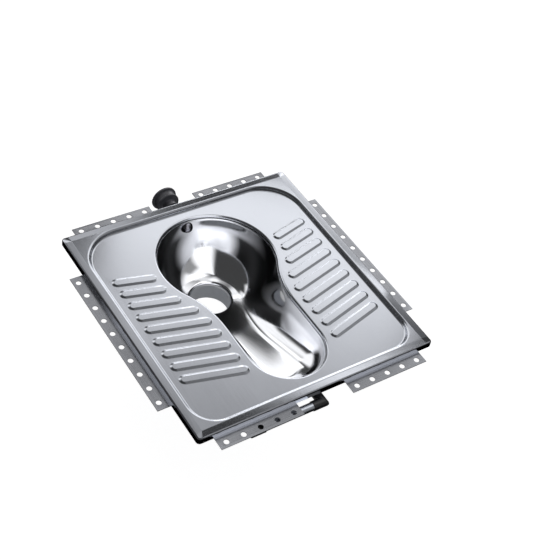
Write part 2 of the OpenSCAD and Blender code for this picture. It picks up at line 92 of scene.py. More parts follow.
def new_nodes(holder):
    """Empty node tree of a material or the world, and a function that adds a node with its values."""
    holder.use_nodes = True
    tree = holder.node_tree
    tree.nodes.clear()

    def add(kind, values=None, **settings):
        node = tree.nodes.new(kind)
        for name, value in settings.items():
            setattr(node, name, value)
        for name, value in (values or {}).items():
            if isinstance(value, bpy.types.NodeSocket):
                tree.links.new(value, node.inputs[name])
            else:
                node.inputs[name].default_value = value
        return node

    return tree, add


def group_math(group):
    """Function that adds a math node to a group and gives its result."""

    def calc(operation, *values):
        node = group.nodes.new("ShaderNodeMath")
        node.operation = operation
        for i, value in enumerate(values):
            if isinstance(value, bpy.types.NodeSocket):
                group.links.new(value, node.inputs[i])
            else:
                node.inputs[i].default_value = value
        return node.outputs[0]

    return calc


def new_object(bm, name):
    """Object in the scene, made from a finished bmesh."""
    mesh = bpy.data.meshes.new(name)
    bm.to_mesh(mesh)
    bm.free()
    made = bpy.data.objects.new(name, mesh)
    bpy.context.scene.collection.objects.link(made)
    return made


def soft_box():
    """One soft box or flag of the room: its share at a direction, from its place and size in degrees."""
    group = bpy.data.node_groups.new("soft_box", "ShaderNodeTree")
    face = group.interface
    for name in ("Azimuth", "Elevation", "Side", "Height", "Half Width", "Half Height", "Edge"):
        face.new_socket(name, in_out="INPUT", socket_type="NodeSocketFloat")
    face.new_socket("Share", in_out="OUTPUT", socket_type="NodeSocketFloat")
    given = group.nodes.new("NodeGroupInput").outputs
    result = group.nodes.new("NodeGroupOutput")
    calc = group_math(group)
    turned = calc("SUBTRACT", given["Azimuth"], given["Side"])
    aside = calc("ABSOLUTE", calc("WRAP", turned, 180.0, -180.0))
    above = calc("ABSOLUTE", calc("SUBTRACT", given["Elevation"], given["Height"]))
    shares = []
    for away, half in ((aside, given["Half Width"]), (above, given["Half Height"])):
        soft = group.nodes.new("ShaderNodeMapRange")
        soft.interpolation_type = "SMOOTHSTEP"
        group.links.new(away, soft.inputs["Value"])
        group.links.new(calc("ADD", half, given["Edge"]), soft.inputs["From Min"])
        group.links.new(calc("SUBTRACT", half, given["Edge"]), soft.inputs["From Max"])
        shares.append(soft.outputs["Result"])
    group.links.new(calc("MULTIPLY", *shares), result.inputs["Share"])
    return group


def add_boxes(tree, add, where, boxes, light):
    """Sum of the soft boxes at a direction, on top of a value."""
    across = add("ShaderNodeSeparateXYZ", {"Vector": where})
    azimuth = add("ShaderNodeMath", {0: across.outputs["Y"], 1: across.outputs["X"]}, operation="ARCTAN2")
    azimuth = add("ShaderNodeMath", {0: azimuth.outputs[0]}, operation="DEGREES")
    elevation = add("ShaderNodeMath", {0: across.outputs["Z"]}, operation="ARCSINE")
    elevation = add("ShaderNodeMath", {0: elevation.outputs[0]}, operation="DEGREES")
    for side, height, half_width, half_height, edge, brightness in boxes:
        share = add("ShaderNodeGroup", node_tree=soft_box_group)
        tree.links.new(azimuth.outputs[0], share.inputs["Azimuth"])
        tree.links.new(elevation.outputs[0], share.inputs["Elevation"])
        share.inputs["Side"].default_value = side
        share.inputs["Height"].default_value = height
        share.inputs["Half Width"].default_value = half_width
        share.inputs["Half Height"].default_value = half_height
        share.inputs["Edge"].default_value = edge
        total = add("ShaderNodeMath", {
            0: share.outputs["Share"], 1: brightness, 2: light}, operation="MULTIPLY_ADD")
        light = total.outputs[0]
    return light


# The room: a dark grey, and boxes of light that are given by azimuth from +X, elevation, half width, half
# height, width of the soft edge and brightness
room_grey = 0.06
room_boxes = (
    (60, 11, 6, 9, 2, 2.60),
    (42, 11, 10, 15, 7, 1.80),
    (64, 0, 12, 6, 2, 1.30),
    (84, 55, 6, 4, 3, 0.30),
    (18, 59, 8, 2, 2.5, 1.50),
    (68, 26, 3, 4, 2, 0.60),
    (110, 24, 20, 14, 5, 1.15),
    (88, 42, 16, 6, 3, 1.00),
    (62, 66, 22, 18, 6, 0.40),
    (-30, 50, 38, 25, 6, 0.28),
)
soft_box_group = soft_box()

world = bpy.data.worlds.new("room")
bpy.context.scene.world = world
tree, add = new_nodes(world)
where = add("ShaderNodeTexCoord").outputs["Generated"]
light = add_boxes(tree, add, where, room_boxes, room_grey)
path = add("ShaderNodeLightPath")
room = add("ShaderNodeBackground", {"Color": white, "Strength": light})
seen = add("ShaderNodeBackground", {"Color": white, "Strength": 1.0})
plain = add("ShaderNodeMath", {
    0: path.outputs["Is Camera Ray"],
    1: path.outputs["Is Transmission Ray"],
}, operation="MAXIMUM")
both = add("ShaderNodeMixShader", {0: plain.outputs["Value"], 1: room.outputs[0], 2: seen.outputs[0]})
add("ShaderNodeOutputWorld", {"Surface": both.outputs[0]})

# Lamps that only the bowl mirrors: a clear dome that glows just for rays that start below the tray. Rays
# that the bowl has already mirrored once get some more light over the trough.
dome_radius = 4.0
dome_start = (0.00795, 0.0076)
fill_start = (0.12, 0.03)
fill_light = 0.9
bowl_boxes = (
    (-93, 45, 25, 48, 8, 1.25),
    (54, 22, 6, 6, 2, 1.50),
    (80, 50, 8, 9, 4, 0.70),
    (34, 22, 14, 20, 4, 1.60),
    (20, 60, 50, 20, 8, 0.90),
    (-35, 68, 34, 13, 7, 1.00),
)

bm = bmesh.new()
bmesh.ops.create_uvsphere(bm, u_segments=48, v_segments=24, radius=dome_radius)
dome = new_object(bm, "dome")
dome.visible_camera = False
dome.visible_shadow = False
dome.visible_diffuse = False
lamps = bpy.data.materials.new("dome_lamps")
tree, add = new_nodes(lamps)
spot = add("ShaderNodeNewGeometry")
path = add("ShaderNodeLightPath")
way_back = add("ShaderNodeVectorMath", {
    0: spot.outputs["Incoming"], "Scale": path.outputs["Ray Length"]}, operation="SCALE")
start = add("ShaderNodeVectorMath", {
    0: spot.outputs["Position"], 1: way_back.outputs["Vector"]}, operation="ADD")
start = add("ShaderNodeSeparateXYZ", {"Vector": start.outputs["Vector"]})
inside = add("ShaderNodeMapRange", {
    "Value": start.outputs["Z"],
    "From Min": dome_start[0],
    "From Max": dome_start[1],
    "To Min": 0.0,
    "To Max": 1.0,
})
ray = add("ShaderNodeVectorMath", {0: spot.outputs["Incoming"], "Scale": -1.0}, operation="SCALE")
light = add_boxes(tree, add, ray.outputs["Vector"], bowl_boxes, 0.0)
trough = add("ShaderNodeMapRange", {
    "Value": start.outputs["Y"],
    "From Min": fill_start[0],
    "From Max": fill_start[1],
    "To Min": 0.0,
    "To Max": fill_light,
})
again = add("ShaderNodeMath", {0: path.outputs["Ray Depth"], 1: 1.5}, operation="GREATER_THAN")
light = add("ShaderNodeMath", {
    0: trough.outputs["Result"], 1: again.outputs[0], 2: light}, operation="MULTIPLY_ADD").outputs[0]
strength = add("ShaderNodeMath", {0: light, 1: inside.outputs["Result"]}, operation="MULTIPLY")
glow = add("ShaderNodeEmission", {"Color": white, "Strength": strength.outputs[0]})
clear = add("ShaderNodeBsdfTransparent", {"Color": white})
total = add("ShaderNodeAddShader", {0: glow.outputs[0], 1: clear.outputs[0]})
add("ShaderNodeOutputMaterial", {"Surface": total.outputs[0]})
dome.data.materials.append(lamps)

# A tall card behind the pan's right rear corner, brightest at its foot
card_place = (0.611, 0.661)
card_turn = 50
card_width = 1.07
card_foot = 0.44
card_head = 1.75
card_light = (1.38, 0.40)

bm = bmesh.new()
bmesh.ops.create_grid(bm, x_segments=1, y_segments=1, size=0.5)
height = card_head - card_foot
upright = Matrix.Rotation(math.pi / 2, 4, "X") @ Matrix.Diagonal((card_width, height, 1, 1))
stand = Matrix.Translation((card_place[0], card_place[1], card_foot + height / 2))
turn = Matrix.Rotation(math.radians(card_turn - 90), 4, "Z")
bmesh.ops.transform(bm, matrix=stand @ turn @ upright, verts=bm.verts)
card = new_object(bm, "card")
card.visible_camera = False
card.visible_shadow = False
lit = bpy.data.materials.new("card_light")
tree, add = new_nodes(lit)
where = add("ShaderNodeTexCoord").outputs["Object"]
level = add("ShaderNodeSeparateXYZ", {"Vector": where}).outputs["Z"]
fade = add("ShaderNodeMapRange", {
    "Value": level,
    "From Min": card_foot,
    "From Max": card_head,
    "To Min": card_light[0],
    "To Max": card_light[1],
}, interpolation_type="SMOOTHSTEP")
glow = add("ShaderNodeEmission", {"Color": white, "Strength": fade.outputs["Result"]})
add("ShaderNodeOutputMaterial", {"Surface": glow.outputs[0]})
card.data.materials.append(lit)

# The floor is white to the camera and clear from below. To mirror rays it glows near the pan and is black
# further out.
bm = bmesh.new()
bmesh.ops.create_grid(bm, x_segments=1, y_segments=1, size=floor_size / 2)
floor_level = cad_box[0][2] - floor_gap
bmesh.ops.translate(bm, verts=bm.verts, vec=(0, 0, floor_level))
floor = new_object(bm, "floor")
paper = bpy.data.materials.new("floor_paper")
tree, add = new_nodes(paper)
path = add("ShaderNodeLightPath")
pale = add("ShaderNodeBsdfDiffuse", {"Color": floor_colour})
where = add("ShaderNodeTexCoord").outputs["Object"]
away = add("ShaderNodeVectorMath", {0: where, 1: (1, 1, 0)}, operation="MULTIPLY")
away = add("ShaderNodeVectorMath", {0: away.outputs["Vector"]}, operation="LENGTH")
near = add("ShaderNodeMapRange", {
    "Value": away.outputs["Value"],
    "From Min": floor_glow_reach[0],
    "From Max": floor_glow_reach[1],
    "To Min": 0.0,
    "To Max": floor_glow,
})
mirrored = add("ShaderNodeEmission", {"Color": white, "Strength": near.outputs["Result"]})
surface = add("ShaderNodeMixShader", {
    0: path.outputs["Is Glossy Ray"], 1: pale.outputs[0], 2: mirrored.outputs[0]})
glow = add("ShaderNodeMath", {0: path.outputs["Is Camera Ray"], 1: floor_white}, operation="MULTIPLY")
shown = add("ShaderNodeEmission", {"Color": white, "Strength": glow.outputs[0]})
total = add("ShaderNodeAddShader", {0: surface.outputs[0], 1: shown.outputs[0]})
under = add("ShaderNodeNewGeometry").outputs["Backfacing"]
clear = add("ShaderNodeBsdfTransparent", {"Color": white})
total = add("ShaderNodeMixShader", {0: under, 1: total.outputs[0], 2: clear.outputs[0]})
add("ShaderNodeOutputMaterial", {"Surface": total.outputs[0]})
floor.data.materials.append(paper)


# ---- Deck ----
# One sheet of stainless steel, pressed in a tool and ground to a satin finish. It has a flat border with
# a skirt bent down round it, a sunken tray with nine ribs under each foot, and an edge rolled into the bowl.
mm = 0.001
sheet = 1.5 * mm
deck_top = 17 * mm
deck_width = 590 * mm
deck_length = 610 * mm
corner_radius = 8 * mm
edge_bend = 4 * mm
skirt_foot = 2 * mm
border_width = 18 * mm
tray_top = 8 * mm
tray_front_radius = 65 * mm
tray_rear_radius = 100 * mm
step_bend = 6 * mm
bend_steps = 8
corner_steps = 20

rib_count = 9
rib_pitch = 37 * mm
rib_half = 13 * mm
rib_height = 2.5 * mm
rib_flank = 6.5 * mm
rib_angle = math.radians(14)
rib_rear_y = 140 * mm
rib_side_gap = 12 * mm
rib_rim_gap = 16 * mm

rear_radius = 137 * mm
rear_y = 118 * mm
front_radius = 88 * mm
front_y = -168 * mm
flank_radius = 240 * mm
rim_bend = 5 * mm
rim_foot = 0.0

flank_x = front_radius + flank_radius
flank_drop = math.sqrt((rear_radius + flank_radius) ** 2 - flank_x ** 2)
flank_y = rear_y - flank_drop
flank_angle = math.asin(flank_drop / (rear_radius + flank_radius))


def arc(centre, radius, start, end, steps, first=0):
    """Points of an arc in a plane, from one angle in degrees to another."""
    points = []
    for i in range(first, steps + 1):
        a = math.radians(start + (end - start) * i / steps)
        points.append(Vector((centre[0] + radius * math.cos(a), centre[1] + radius * math.sin(a))))
    return points


def rounded_outline(inset, width, length, front_r, rear_r):
    """Rectangle in plan with one radius at the front and one at the rear, drawn in by inset."""
    points = []
    corners = ((1, 1, rear_r, 0), (-1, 1, rear_r, 90), (-1, -1, front_r, 180), (1, -1, front_r, 270))
    for side, end, radius, start in corners:
        centre = (side * (width / 2 - radius), end * (length / 2 - radius))
        points += arc(centre, radius - inset, start, start + 90, corner_steps)
    return points


def keyhole_stations(step):
    """Round the bowl's outline from the middle of the front: place, and direction away from the bowl."""
    right = []
    turns = (
        ((0, front_y), front_radius, -90, 0, 1),
        ((flank_x, flank_y), flank_radius, 180, 180 - math.degrees(flank_angle), -1),
        ((0, rear_y), rear_radius, -math.degrees(flank_angle), 90, 1),
    )
    for number, (centre, radius, start, end, out) in enumerate(turns):
        count = math.ceil(abs(end - start) * (radius / front_radius) ** 0.5 / step)
        for i in range(count):
            a = math.radians(start + (end - start) * i / count)
            ray = Vector((math.cos(a), math.sin(a)))
            right.append((Vector(centre) + radius * ray, out * ray))
        if number == 0:
            straight = 6
            for i in range(straight):
                y = front_y + (flank_y - front_y) * i / straight
                right.append((Vector((front_radius, y)), Vector((1, 0))))
    right.append((Vector((0, rear_y + rear_radius)), Vector((0, 1))))
    left = [(Vector((-p.x, p.y)), Vector((-n.x, n.y))) for p, n in right[-2:0:-1]]
    return right + left


def first_ring(bm, points):
    """Closed loop of new vertices joined by edges."""
    ring = [bm.verts.new(p) for p in points]
    for i in range(len(ring)):
        bm.edges.new((ring[i - 1], ring[i]))
    return ring


def ring_edges(bm, ring):
    """The edges of a closed loop of vertices."""
    return [bm.edges.get((ring[i - 1], ring[i])) for i in range(len(ring))]


def draw_ring(bm, ring, points):
    """Extrudes a closed loop and draws the new one out to its points, vertex by vertex."""
    made = bmesh.ops.extrude_edge_only(bm, edges=ring_edges(bm, ring))["geom"]
    place = {v: i for i, v in enumerate(ring)}
    drawn = [None] * len(ring)
    for v in made:
        if isinstance(v, bmesh.types.BMVert):
            old = next(e.other_vert(v) for e in v.link_edges if e.other_vert(v) in place)
            drawn[place[old]] = v
            v.co = points[place[old]]
    return drawn


def draw_rings(bm, loops):
    """Skin through a row of loops of points; gives the first and the last loop of vertices."""
    first = first_ring(bm, loops[0])
    ring = first
    for points in loops[1:]:
        ring = draw_ring(bm, ring, points)
    return first, ring


def at_height(points, z):
    """Points in plan, lifted to one height."""
    return [Vector((p.x, p.y, z)) for p in points]


def place_piece(bm, name, material, nodes, thickness=0.0, up=None):
    """Object made from bm, standing for the named CAD nodes; its faces look to the side of up."""
    bmesh.ops.recalc_face_normals(bm, faces=bm.faces)
    if up is not None:
        bm.faces.ensure_lookup_table()
        widest = max(bm.faces, key=lambda f: f.calc_area())
        if widest.normal.dot(Vector(up)) < 0:
            bmesh.ops.reverse_faces(bm, faces=bm.faces)
    piece = new_object(bm, name)
    mesh = piece.data
    mesh.polygons.foreach_set("use_smooth", [True] * len(mesh.polygons))
    mesh.materials.append(material)
    if thickness:
        shell = piece.modifiers.new("sheet", "SOLIDIFY")
        shell.thickness = thickness
        shell.offset = -1
        shell.use_even_offset = True
    smooth = piece.modifiers.new("smooth", "WEIGHTED_NORMAL")
    smooth.keep_sharp = True
    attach(piece, "root")
    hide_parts(*nodes)


def rim_distance(p):
    """From a point right of the trough to the bowl's outline."""
    if p.y <= flank_y:
        return p.x - front_radius
    if math.atan2(p.y - flank_y, flank_x - p.x) < flank_angle:
        return flank_radius - (p - Vector((flank_x, flank_y))).length
    return (p - Vector((0, rear_y))).length - rear_radius


def rib_ends(number):
    """Outer and inner end of a rib's centre line, right of the bowl."""
    outer_x = deck_width / 2 - border_width - step_run - rib_side_gap - rib_half
    outer = Vector((outer_x, rib_rear_y - number * rib_pitch))
    low = 0.0
    high = outer.x
    for turn in range(20):
        x = (low + high) / 2
        inner = Vector((x, outer.y - (outer.x - x) * math.tan(rib_angle)))
        if rim_distance(inner) > rib_rim_gap + rib_half:
            high = x
        else:
            low = x
    return outer, inner


def rib_outline(number, side, inset):
    """Stadium round a rib, drawn in by inset."""
    outer, inner = rib_ends(number)
    lean = math.degrees(rib_angle)
    points = arc(outer, rib_half - inset, lean - 90, lean + 90, 10)
    points += arc(inner, rib_half - inset, lean + 90, lean + 270, 10)
    return [Vector((side * p.x, p.y)) for p in points]


step_angle = math.degrees(math.acos(1 - (deck_top - tray_top) / (2 * step_bend)))
step_run = 2 * step_bend * math.sin(math.radians(step_angle))
tray_width = deck_width - 2 * border_width
tray_length = deck_length - 2 * border_width

# Profile across the edge: x is the distance in from the outline, y the height
skirt = [Vector((0, skirt_foot)), Vector((0, skirt_foot + 0.5 * mm))]
skirt += [Vector((edge_bend - p.x, p.y)) for p in arc(
    (0, deck_top - edge_bend), edge_bend, 0, 90, bend_steps)]
step_outer = step_bend + sheet / 2
step_inner = step_bend - sheet / 2
step = [Vector((-p.x, p.y)) for p in arc(
    (0, deck_top - step_outer), step_outer, 90, 90 + step_angle, bend_steps)]
step += [Vector((-p.x, p.y)) for p in arc(
    (-step_run, tray_top + step_inner), step_inner, 270 + step_angle, 270, bend_steps, 1)]

bm = bmesh.new()
loops = []
for p in skirt:
    outline = rounded_outline(p.x, deck_width, deck_length, corner_radius, corner_radius)
    loops.append(at_height(outline, p.y))
for p in step:
    outline = rounded_outline(p.x, tray_width, tray_length, tray_front_radius, tray_rear_radius)
    loops.append(at_height(outline, p.y))
tray_edges = ring_edges(bm, draw_rings(bm, loops)[1])

stations = keyhole_stations(3)
rim = [Vector((p.x, p.y)) for p in arc((rim_bend, tray_top - rim_bend), rim_bend, 90, 180, bend_steps)]
rim.append(Vector((0, rim_foot)))
loops = [at_height([place + p.x * ray for place, ray in stations], p.y) for p in rim]
tray_edges += ring_edges(bm, draw_rings(bm, loops)[0])

flank_steps = 7
for number in range(rib_count):
    for side in (-1, 1):
        loops = []
        for i in range(flank_steps + 1):
            share = i / flank_steps
            rise = share * share * (3 - 2 * share)
            outline = rib_outline(number, side, share * rib_flank)
            loops.append(at_height(outline, tray_top + rise * rib_height))
        foot, top = draw_rings(bm, loops)
        bmesh.ops.edgeloop_fill(bm, edges=ring_edges(bm, top))
        tray_edges += ring_edges(bm, foot)
bmesh.ops.triangle_fill(bm, use_beauty=True, use_dissolve=False, edges=tray_edges, normal=(0, 0, 1))


def steel_grain():
    """Grain left by the grinding belt: roughness and height, from long thin noise along Y."""
    group = bpy.data.node_groups.new("steel_grain", "ShaderNodeTree")
    face = group.interface
    face.new_socket("Position", in_out="INPUT", socket_type="NodeSocketVector")
    for name, value in (("Roughness", 0.25), ("Grain", 0.05), ("Fineness", 1.0)):
        socket = face.new_socket(name, in_out="INPUT", socket_type="NodeSocketFloat")
        socket.default_value = value
    face.new_socket("Roughness", in_out="OUTPUT", socket_type="NodeSocketFloat")
    face.new_socket("Height", in_out="OUTPUT", socket_type="NodeSocketFloat")
    face.new_socket("Shade", in_out="OUTPUT", socket_type="NodeSocketFloat")
    nodes = group.nodes
    links = group.links
    given = nodes.new("NodeGroupInput")
    result = nodes.new("NodeGroupOutput")
    stretch = nodes.new("ShaderNodeMapping")
    stretch.inputs["Scale"].default_value = (900, 14, 300)
    links.new(given.outputs["Position"], stretch.inputs["Vector"])
    lines = nodes.new("ShaderNodeTexNoise")
    lines.inputs["Detail"].default_value = 3
    links.new(stretch.outputs["Vector"], lines.inputs["Vector"])
    links.new(given.outputs["Fineness"], lines.inputs["Scale"])
    clouds = nodes.new("ShaderNodeTexNoise")
    clouds.inputs["Scale"].default_value = 9
    clouds.inputs["Detail"].default_value = 4
    links.new(given.outputs["Position"], clouds.inputs["Vector"])
    calc = group_math(group)
    mixed = calc("ADD", lines.outputs["Fac"], clouds.outputs["Fac"])
    centred = calc("SUBTRACT", mixed, 1.0)
    spread = calc("MULTIPLY_ADD", centred, given.outputs["Grain"], given.outputs["Roughness"])
    links.new(spread, result.inputs["Roughness"])
    links.new(lines.outputs["Fac"], result.inputs["Height"])
    links.new(mixed, result.inputs["Shade"])
    return group


grain_group = steel_grain()


def steel(name, colour, roughness, grain, bump, fineness=1.0, metal=1.0, centre=None, turn=0,
          change=None):
    """Bare stainless steel with the belt's grain in its roughness, colour and surface."""
    material = bpy.data.materials.new(name)
    tree, add = new_nodes(material)
    where = add("ShaderNodeTexCoord").outputs["Object"]
    if centre is not None:
        shift = add("ShaderNodeMapping", {"Vector": where, "Location": [-c for c in centre]})
        turned_round = add("ShaderNodeMapping", {
            "Vector": shift.outputs["Vector"], "Rotation": (0, 0, math.radians(turn))})
        where = turned_round.outputs["Vector"]
    marks = add("ShaderNodeGroup", node_tree=grain_group)
    tree.links.new(where, marks.inputs["Position"])
    marks.inputs["Roughness"].default_value = roughness
    marks.inputs["Grain"].default_value = grain
    marks.inputs["Fineness"].default_value = fineness
    shade = add("ShaderNodeMapRange", {
        "Value": marks.outputs["Shade"],
        "From Min": 0.6,
        "From Max": 1.4,
        "To Min": 0.94,
        "To Max": 1.06,
    })
    tint = add("ShaderNodeVectorMath", {0: colour, "Scale": shade.outputs["Result"]}, operation="SCALE")
    relief = add("ShaderNodeBump", {"Strength": bump, "Distance": 0.0002, "Height": marks.outputs["Height"]})
    looks = {
        "Base Color": tint.outputs["Vector"],
        "Metallic": metal,
        "Roughness": marks.outputs["Roughness"],
        "Normal": relief.outputs["Normal"],
    }
    if change:
        change(tree, add, where, relief, looks)
    surface = add("ShaderNodeBsdfPrincipled", looks)
    add("ShaderNodeOutputMaterial", {"Surface": surface.outputs[0]})
    return material


# The border's mesh is flat. Only its shading falls outward, which fits the reflections in the reference.
border_x = deck_width / 2 - border_width
border_y = deck_length / 2 - border_width
border_fall = math.tan(math.radians(10))
border_blend = 2 * mm
border_shine = 0.5


def slope_border(tree, add, where, relief, looks):
    """Shades the border as if it fell outward, and makes it smoother than the tray."""
    place = add("ShaderNodeSeparateXYZ", {"Vector": where})
    kept = []
    for axis, edge in (("X", border_x), ("Y", border_y)):
        away = add("ShaderNodeMath", {0: place.outputs[axis]}, operation="ABSOLUTE")
        past = add("ShaderNodeMath", {0: away.outputs[0], 1: edge}, operation="SUBTRACT")
        kept.append(add("ShaderNodeMath", {0: past.outputs[0], 1: 0.0}, operation="MAXIMUM").outputs[0])
    pair = add("ShaderNodeCombineXYZ", {"X": kept[0], "Y": kept[1]})
    fall = add("ShaderNodeVectorMath", {0: pair.outputs[0]}, operation="LENGTH").outputs["Value"]
    drop = add("ShaderNodeMath", {0: fall, 1: -border_fall}, operation="MULTIPLY")
    tilt = add("ShaderNodeBump", {"Strength": 1.0, "Distance": 1.0, "Height": drop.outputs[0]})
    tree.links.new(tilt.outputs["Normal"], relief.inputs["Normal"])
    shine = add("ShaderNodeMapRange", {
        "Value": fall, "From Min": 0.0, "From Max": border_blend, "To Min": 1.0, "To Max": border_shine})
    smoother = add("ShaderNodeMath", {
        0: looks["Roughness"], 1: shine.outputs["Result"]}, operation="MULTIPLY")
    looks["Roughness"] = smoother.outputs[0]


satin_steel = steel("satin_steel", (0.60, 0.62, 0.67), 0.20, 0.08, 0.10, change=slope_border)
place_piece(bm, "deck_sheet", satin_steel, ["deck"], thickness=sheet, up=(0, 0, 1))


# ---- Bowl ----
# Deep drawn from one blank and mirror polished: a round well at the rear, a trough to the front, and a
# floor that falls to the drain, where the sheet is flanged down into a short neck. Welded to the deck.
drain_y = 120 * mm
drain_radius = 48.5 * mm
drain_bend = 6.5 * mm
bowl_depth = 145 * mm
front_depth = 65 * mm
curve_top = rim_foot - 8 * mm
toe_front = 56 * mm
toe_rear = 75 * mm
drain_neck = 2 * mm
toe_rings = 24
floor_rings = 10
drain_rings = 8
dim_start = (60 * mm, 120 * mm)
dim_share = 0.97
dim_steepness = (0.95, 0.75)
own_blur = 0.45

front_wall_y = front_y - front_radius
rear_wall_y = rear_y + rear_radius
floor_fall = (bowl_depth - front_depth) / (drain_y - front_wall_y - drain_radius - drain_bend)
fall_angle = math.atan(floor_fall)
roll_centre_z = deck_top - bowl_depth - drain_bend * math.cos(fall_angle)
neck_foot = roll_centre_z - drain_neck
roll_start = drain_radius + drain_bend - drain_bend * math.sin(fall_angle)
drain_centre = Vector((0, drain_y))


def floor_height(p):
    """Height of the sloping floor at a point in plan."""
    distance = (p - drain_centre).length
    return roll_centre_z + drain_bend * math.cos(fall_angle) + floor_fall * (distance - roll_start)


def bowl_section(place, ray):
    """Points down the wall at one place of the outline, over the floor and into the neck."""
    share = (place.y - front_wall_y) / (rear_wall_y - front_wall_y)
    toe = toe_front + (toe_rear - toe_front) * share * share * (3 - 2 * share)
    rise = curve_top - floor_height(place)
    foot = place - toe * ray
    towards = (foot - drain_centre).normalized()
    roll = drain_centre + roll_start * towards
    points = [place.to_3d()]
    points[0].z = rim_foot
    for i in range(toe_rings + 1):
        a = math.radians(90 * i / toe_rings)
        p = place - toe * (1 - math.cos(a)) * ray
        points.append(Vector((p.x, p.y, floor_height(p) + rise * (1 - math.sin(a)))))
    for i in range(1, floor_rings + 1):
        p = foot.lerp(roll, i / floor_rings)
        points.append(Vector((p.x, p.y, floor_height(p))))
    for i in range(1, drain_rings + 1):
        a = fall_angle + (math.pi / 2 - fall_angle) * i / drain_rings
        p = drain_centre + (drain_radius + drain_bend * (1 - math.sin(a))) * towards
        points.append(Vector((p.x, p.y, roll_centre_z + drain_bend * math.cos(a))))
    points.append(Vector((points[-1].x, points[-1].y, neck_foot)))
    return points


def dim_own_reflections(tree, add, where, relief, looks):
    """Where the bowl mirrors itself: dims the well's wall and blurs all of it. This is light, not form."""
    mirrored = add("ShaderNodeLightPath").outputs["Is Glossy Ray"]
    place = add("ShaderNodeSeparateXYZ", {"Vector": where})
    deep = add("ShaderNodeMapRange", {
        "Value": place.outputs["Y"],
        "From Min": dim_start[0],
        "From Max": dim_start[1],
        "To Min": 0.0,
        "To Max": dim_share,
    })
    normal = add("ShaderNodeSeparateXYZ", {"Vector": add("ShaderNodeNewGeometry").outputs["Normal"]})
    wall = add("ShaderNodeMapRange", {
        "Value": normal.outputs["Z"],
        "From Min": dim_steepness[0],
        "From Max": dim_steepness[1],
        "To Min": 0.0,
        "To Max": 1.0,
    })
    dim = add("ShaderNodeMath", {
        0: deep.outputs["Result"], 1: wall.outputs["Result"]}, operation="MULTIPLY")
    dim = add("ShaderNodeMath", {0: dim.outputs[0], 1: mirrored}, operation="MULTIPLY")
    left = add("ShaderNodeMath", {0: 1.0, 1: dim.outputs[0]}, operation="SUBTRACT")
    blur = add("ShaderNodeMath", {0: mirrored, 1: own_blur}, operation="MULTIPLY")
    rough = add("ShaderNodeMath", {0: looks["Roughness"], 1: blur.outputs[0]}, operation="MAXIMUM")
    dimmed = add("ShaderNodeVectorMath", {
        0: looks["Base Color"], "Scale": left.outputs[0]}, operation="SCALE")
    looks["Roughness"] = rough.outputs[0]
    looks["Base Color"] = dimmed.outputs["Vector"]


bm = bmesh.new()
sections = [bowl_section(place, ray) for place, ray in keyhole_stations(2)]
draw_rings(bm, [[section[level] for section in sections] for level in range(len(sections[0]))])
mirror_steel = steel("mirror_steel", (0.80, 0.81, 0.84), 0.10, 0.04, 0.02, 0.4,
                     change=dim_own_reflections)
place_piece(bm, "bowl_shell", mirror_steel, ["bowl"], thickness=sheet)


# ---- Outlet spigot ----
# A length of stainless tube welded under the bowl's neck, sawn square at its mouth and left as it came from
# the mill, so it is duller than the bowl. The weld runs round the joint in a narrow bead.
outlet_radius = drain_radius + sheet
part_height = 197 * mm
outlet_mouth = deck_top - part_height
saw_edge = 0.35 * mm
weld_radius = 0.9 * mm
weld_ripple = 0.12 * mm
weld_drops = 110


def eased(profile, reach, steps=3):
    """Closed profile with every corner rounded off, its curve starting at most reach from the corner."""
    points = []
    for i, corner in enumerate(profile):
        corner = Vector(corner)
        before = Vector(profile[i - 1]) - corner
        after = Vector(profile[(i + 1) % len(profile)]) - corner
        cut = min(reach, 0.45 * before.length, 0.45 * after.length)
        start = corner + cut * before.normalized()
        end = corner + cut * after.normalized()
        for k in range(steps + 1):
            share = k / steps
            points.append((1 - share) ** 2 * start + 2 * share * (1 - share) * corner + share ** 2 * end)
    return points


def turned(bm, profile, place, steps=72):
    """Solid ring turned round Z from a closed profile of (radius, height), then put in its place."""
    old = set(bm.verts)
    verts = [bm.verts.new((r, 0, z)) for r, z in profile]
    edges = [bm.edges.new((verts[i - 1], verts[i])) for i in range(len(verts))]
    bmesh.ops.spin(bm, geom=verts + edges, cent=(0, 0, 0), axis=(0, 0, 1), angle=2 * math.pi, steps=steps,
                   use_merge=True)
    made = [v for v in bm.verts if v not in old]
    bmesh.ops.transform(bm, matrix=place, verts=made)
    return made


bm = bmesh.new()
spigot = [(drain_radius, outlet_mouth), (outlet_radius, outlet_mouth), (outlet_radius, neck_foot),
          (drain_radius, neck_foot)]
under_drain = Matrix.Translation((0, drain_y, 0))
turned(bm, eased(spigot, saw_edge), under_drain, 128)
bead = arc((outlet_radius, neck_foot + 1.2 * weld_radius), weld_radius, 0, 330, 11)
for v in turned(bm, bead, under_drain, 330):
    spoke = Vector((v.co.x, v.co.y - drain_y, 0))
    angle = math.atan2(spoke.y, spoke.x)
    if spoke.length > outlet_radius:
        v.co += weld_ripple * math.sin(weld_drops * angle) * spoke.normalized()
mill_steel = steel("mill_steel", (0.50, 0.52, 0.56), 0.42, 0.12, 0.15, 0.6,
                   metal=0.55, centre=(0, drain_y, 0))
place_piece(bm, "outlet_tube", mill_steel, ["outlet_spigot"])


# ---- Outlet seal ----
# Black rubber ring pushed up the spigot, so that the pan drops into a soil pipe and seals there. Three
# rounded lips are moulded round it.
fit_gap = 0.3 * mm
seal_length = 26 * mm
seal_body = 54.5 * mm
seal_lip = 2 * mm
seal_lips = 3


